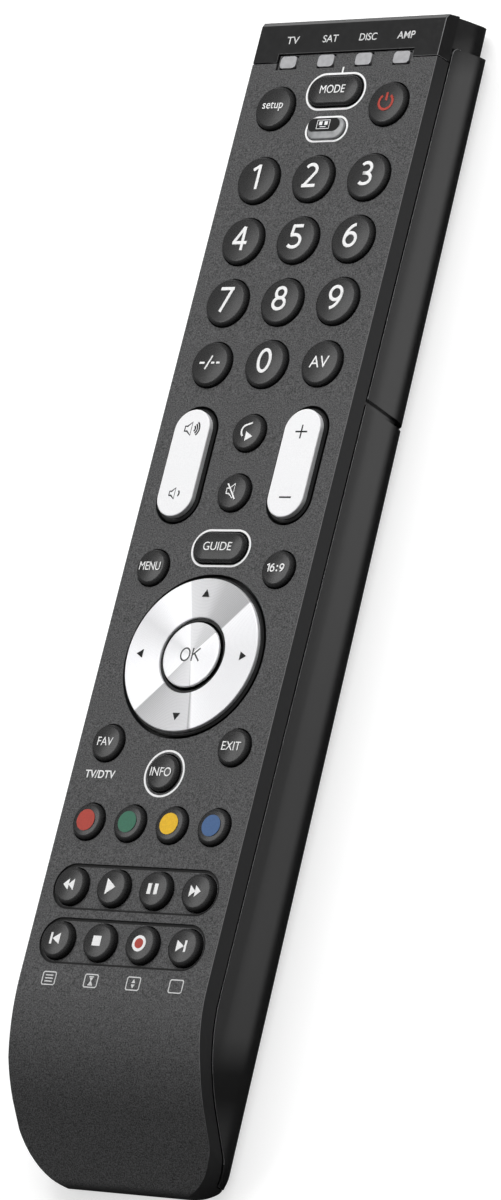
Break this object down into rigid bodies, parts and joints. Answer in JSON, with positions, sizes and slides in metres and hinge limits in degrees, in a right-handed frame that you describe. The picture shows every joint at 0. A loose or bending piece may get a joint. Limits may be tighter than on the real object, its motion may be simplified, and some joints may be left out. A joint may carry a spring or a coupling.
{
  "type": "universal remote control",
  "caption": "Slim universal remote control with a bent chin, sprung keys, rockers, a tilting navigation ring and a hinged wrap-round battery cover.",
  "frame": {"origin": "middle of the rear face that the remote lies on", "axes": "+Z out of the key face, +Y towards the signal window, +X to the right of the keys"},
  "size_m": [0.0462, 0.2362, 0.0225],
  "materials": {
    "panel_plastic": "fine grained dark grey moulding",
    "window_plastic": "gloss black, clear to infrared",
    "clear_plastic": "milky light guide",
    "shell_plastic": "gloss black moulding",
    "mat_rubber": "soft black",
    "board": "green solder resist",
    "chip": "moulded black",
    "resonator_case": "dipped ochre",
    "capacitor_sleeve": "dark blue sleeve",
    "lamp_lens": "pale lamp",
    "infrared_lens": "dark violet lens",
    "screw_steel": "zinc plated",
    "cell_jacket": "plain foil jacket",
    "spring_steel": "nickel plated",
    "carrier_plastic": "black",
    "spun_metal": "bright, spun in circles",
    "silver_plastic": "silver lacquer",
    "key_plastic": "satin dark grey",
    "smoke_key": "smoke grey"
  },
  "bodies": {
    "case": {"front_cover": "panel_plastic", "signal_window": "window_plastic", "light_guide": "clear_plastic", "rear_cover": "shell_plastic", "keypad_mat": "mat_rubber", "circuit_board": "board", "controller_chip": "chip", "resonator": "resonator_case", "capacitor": "capacitor_sleeve", "mode_leds": "lamp_lens", "ir_lamps": "infrared_lens", "case_screws": "screw_steel", "left_cell": "cell_jacket", "right_cell": "cell_jacket", "battery_springs": "spring_steel", "battery_contacts": "spring_steel"},
    "battery_cover": {"battery_cover": "shell_plastic"},
    "nav_rocker": {"nav_rocker": "carrier_plastic"},
    "nav_ring": {"nav_ring": "spun_metal"},
    "ok_key": {"ok_key": "spun_metal"},
    "volume_rocker": {"volume_rocker": "silver_plastic"},
    "channel_rocker": {"channel_rocker": "silver_plastic"},
    "setup_key": {"setup_key": "key_plastic"},
    "power_key": {"power_key": "key_plastic"},
    "mode_key": {"mode_key": "key_plastic"},
    "activity_key": {"activity_key": "smoke_key"},
    "digit_1_key": {"digit_1_key": "key_plastic"},
    "digit_2_key": {"digit_2_key": "key_plastic"},
    "digit_3_key": {"digit_3_key": "key_plastic"},
    "digit_4_key": {"digit_4_key": "key_plastic"},
    "digit_5_key": {"digit_5_key": "key_plastic"},
    "digit_6_key": {"digit_6_key": "key_plastic"},
    "digit_7_key": {"digit_7_key": "key_plastic"},
    "digit_8_key": {"digit_8_key": "key_plastic"},
    "digit_9_key": {"digit_9_key": "key_plastic"},
    "dash_key": {"dash_key": "key_plastic"},
    "digit_0_key": {"digit_0_key": "key_plastic"},
    "av_key": {"av_key": "key_plastic"},
    "return_key": {"return_key": "key_plastic"},
    "mute_key": {"mute_key": "key_plastic"},
    "guide_key": {"guide_key": "key_plastic"},
    "menu_key": {"menu_key": "key_plastic"},
    "aspect_key": {"aspect_key": "key_plastic"},
    "fav_key": {"fav_key": "key_plastic"},
    "exit_key": {"exit_key": "key_plastic"},
    "info_key": {"info_key": "key_plastic"},
    "red_key": {"red_key": "key_plastic"},
    "green_key": {"green_key": "key_plastic"},
    "yellow_key": {"yellow_key": "key_plastic"},
    "blue_key": {"blue_key": "key_plastic"},
    "rewind_key": {"rewind_key": "key_plastic"},
    "play_key": {"play_key": "key_plastic"},
    "pause_key": {"pause_key": "key_plastic"},
    "forward_key": {"forward_key": "key_plastic"},
    "previous_key": {"previous_key": "key_plastic"},
    "stop_key": {"stop_key": "key_plastic"},
    "record_key": {"record_key": "key_plastic"},
    "next_key": {"next_key": "key_plastic"}
  },
  "joints": [
    {"name": "battery_cover_hinge", "type": "hinge", "parent": "case", "child": "battery_cover", "pos_m": [0, -0.11482, 0], "axis": [-1, 0, 0], "range_deg": [0, 45]},
    {"name": "nav_rock_across", "type": "hinge", "parent": "case", "child": "nav_rocker", "pos_m": [0, -0.0179, 0.01695], "axis": [0, 0.9998, -0.0216], "range_deg": [-2, 2], "stiffness_Nm_per_rad": 0.4},
    {"name": "nav_rock_along", "type": "hinge", "parent": "nav_rocker", "child": "nav_ring", "pos_m": [0, -0.01785, 0.01916], "axis": [1, 0, 0], "range_deg": [-2, 2], "stiffness_Nm_per_rad": 0.4},
    {"name": "ok_key_press", "type": "slide", "parent": "case", "child": "ok_key", "axis": [0, -0.0216, -0.9998], "range_m": [0, 0.0008], "stiffness_N_per_m": 500},
    {"name": "volume_rocker_tilt", "type": "hinge", "parent": "case", "child": "volume_rocker", "pos_m": [-0.01337, 0.02095, 0.01681], "axis": [1, 0, 0], "range_deg": [-4, 4], "stiffness_Nm_per_rad": 0.12},
    {"name": "channel_rocker_tilt", "type": "hinge", "parent": "case", "child": "channel_rocker", "pos_m": [0.01337, 0.02095, 0.01681], "axis": [1, 0, 0], "range_deg": [-4, 4], "stiffness_Nm_per_rad": 0.12},
    {"name": "setup_key_press", "type": "slide", "parent": "case", "child": "setup_key", "axis": [0, -0.0216, -0.9998], "range_m": [0, 0.0008], "stiffness_N_per_m": 500},
    {"name": "power_key_press", "type": "slide", "parent": "case", "child": "power_key", "axis": [0, -0.0216, -0.9998], "range_m": [0, 0.0008], "stiffness_N_per_m": 500},
    {"name": "mode_key_press", "type": "slide", "parent": "case", "child": "mode_key", "axis": [0, -0.0216, -0.9998], "range_m": [0, 0.0008], "stiffness_N_per_m": 500},
    {"name": "activity_key_press", "type": "slide", "parent": "case", "child": "activity_key", "axis": [0, -0.0216, -0.9998], "range_m": [0, 0.0008], "stiffness_N_per_m": 500},
    {"name": "digit_1_key_press", "type": "slide", "parent": "case", "child": "digit_1_key", "axis": [0, -0.0216, -0.9998], "range_m": [0, 0.0008], "stiffness_N_per_m": 500},
    {"name": "digit_2_key_press", "type": "slide", "parent": "case", "child": "digit_2_key", "axis": [0, -0.0216, -0.9998], "range_m": [0, 0.0008], "stiffness_N_per_m": 500},
    {"name": "digit_3_key_press", "type": "slide", "parent": "case", "child": "digit_3_key", "axis": [0, -0.0216, -0.9998], "range_m": [0, 0.0008], "stiffness_N_per_m": 500},
    {"name": "digit_4_key_press", "type": "slide", "parent": "case", "child": "digit_4_key", "axis": [0, -0.0216, -0.9998], "range_m": [0, 0.0008], "stiffness_N_per_m": 500},
    {"name": "digit_5_key_press", "type": "slide", "parent": "case", "child": "digit_5_key", "axis": [0, -0.0216, -0.9998], "range_m": [0, 0.0008], "stiffness_N_per_m": 500},
    {"name": "digit_6_key_press", "type": "slide", "parent": "case", "child": "digit_6_key", "axis": [0, -0.0216, -0.9998], "range_m": [0, 0.0008], "stiffness_N_per_m": 500},
    {"name": "digit_7_key_press", "type": "slide", "parent": "case", "child": "digit_7_key", "axis": [0, -0.0216, -0.9998], "range_m": [0, 0.0008], "stiffness_N_per_m": 500},
    {"name": "digit_8_key_press", "type": "slide", "parent": "case", "child": "digit_8_key", "axis": [0, -0.0216, -0.9998], "range_m": [0, 0.0008], "stiffness_N_per_m": 500},
    {"name": "digit_9_key_press", "type": "slide", "parent": "case", "child": "digit_9_key", "axis": [0, -0.0216, -0.9998], "range_m": [0, 0.0008], "stiffness_N_per_m": 500},
    {"name": "dash_key_press", "type": "slide", "parent": "case", "child": "dash_key", "axis": [0, -0.0216, -0.9998], "range_m": [0, 0.0008], "stiffness_N_per_m": 500},
    {"name": "digit_0_key_press", "type": "slide", "parent": "case", "child": "digit_0_key", "axis": [0, -0.0216, -0.9998], "range_m": [0, 0.0008], "stiffness_N_per_m": 500},
    {"name": "av_key_press", "type": "slide", "parent": "case", "child": "av_key", "axis": [0, -0.0216, -0.9998], "range_m": [0, 0.0008], "stiffness_N_per_m": 500},
    {"name": "return_key_press", "type": "slide", "parent": "case", "child": "return_key", "axis": [0, -0.0216, -0.9998], "range_m": [0, 0.0008], "stiffness_N_per_m": 500},
    {"name": "mute_key_press", "type": "slide", "parent": "case", "child": "mute_key", "axis": [0, -0.0216, -0.9998], "range_m": [0, 0.0008], "stiffness_N_per_m": 500},
    {"name": "guide_key_press", "type": "slide", "parent": "case", "child": "guide_key", "axis": [0, -0.0216, -0.9998], "range_m": [0, 0.0008], "stiffness_N_per_m": 500},
    {"name": "menu_key_press", "type": "slide", "parent": "case", "child": "menu_key", "axis": [0, -0.0216, -0.9998], "range_m": [0, 0.0008], "stiffness_N_per_m": 500},
    {"name": "aspect_key_press", "type": "slide", "parent": "case", "child": "aspect_key", "axis": [0, -0.0216, -0.9998], "range_m": [0, 0.0008], "stiffness_N_per_m": 500},
    {"name": "fav_key_press", "type": "slide", "parent": "case", "child": "fav_key", "axis": [0, -0.0216, -0.9998], "range_m": [0, 0.0008], "stiffness_N_per_m": 500},
    {"name": "exit_key_press", "type": "slide", "parent": "case", "child": "exit_key", "axis": [0, -0.0216, -0.9998], "range_m": [0, 0.0008], "stiffness_N_per_m": 500},
    {"name": "info_key_press", "type": "slide", "parent": "case", "child": "info_key", "axis": [0, -0.0216, -0.9998], "range_m": [0, 0.0008], "stiffness_N_per_m": 500},
    {"name": "red_key_press", "type": "slide", "parent": "case", "child": "red_key", "axis": [0, -0.0216, -0.9998], "range_m": [0, 0.0008], "stiffness_N_per_m": 500},
    {"name": "green_key_press", "type": "slide", "parent": "case", "child": "green_key", "axis": [0, -0.0216, -0.9998], "range_m": [0, 0.0008], "stiffness_N_per_m": 500},
    {"name": "yellow_key_press", "type": "slide", "parent": "case", "child": "yellow_key", "axis": [0, -0.0216, -0.9998], "range_m": [0, 0.0008], "stiffness_N_per_m": 500},
    {"name": "blue_key_press", "type": "slide", "parent": "case", "child": "blue_key", "axis": [0, -0.0216, -0.9998], "range_m": [0, 0.0008], "stiffness_N_per_m": 500},
    {"name": "rewind_key_press", "type": "slide", "parent": "case", "child": "rewind_key", "axis": [0, -0.0216, -0.9998], "range_m": [0, 0.0008], "stiffness_N_per_m": 500},
    {"name": "play_key_press", "type": "slide", "parent": "case", "child": "play_key", "axis": [0, -0.0216, -0.9998], "range_m": [0, 0.0008], "stiffness_N_per_m": 500},
    {"name": "pause_key_press", "type": "slide", "parent": "case", "child": "pause_key", "axis": [0, -0.0216, -0.9998], "range_m": [0, 0.0008], "stiffness_N_per_m": 500},
    {"name": "forward_key_press", "type": "slide", "parent": "case", "child": "forward_key", "axis": [0, -0.0216, -0.9998], "range_m": [0, 0.0008], "stiffness_N_per_m": 500},
    {"name": "previous_key_press", "type": "slide", "parent": "case", "child": "previous_key", "axis": [0, -0.0216, -0.9998], "range_m": [0, 0.0008], "stiffness_N_per_m": 500},
    {"name": "stop_key_press", "type": "slide", "parent": "case", "child": "stop_key", "axis": [0, -0.0216, -0.9998], "range_m": [0, 0.0008], "stiffness_N_per_m": 500},
    {"name": "record_key_press", "type": "slide", "parent": "case", "child": "record_key", "axis": [0, -0.0216, -0.9998], "range_m": [0, 0.0008], "stiffness_N_per_m": 500},
    {"name": "next_key_press", "type": "slide", "parent": "case", "child": "next_key", "axis": [0, -0.0216, -0.9998], "range_m": [0, 0.0008], "stiffness_N_per_m": 500}
  ]
}
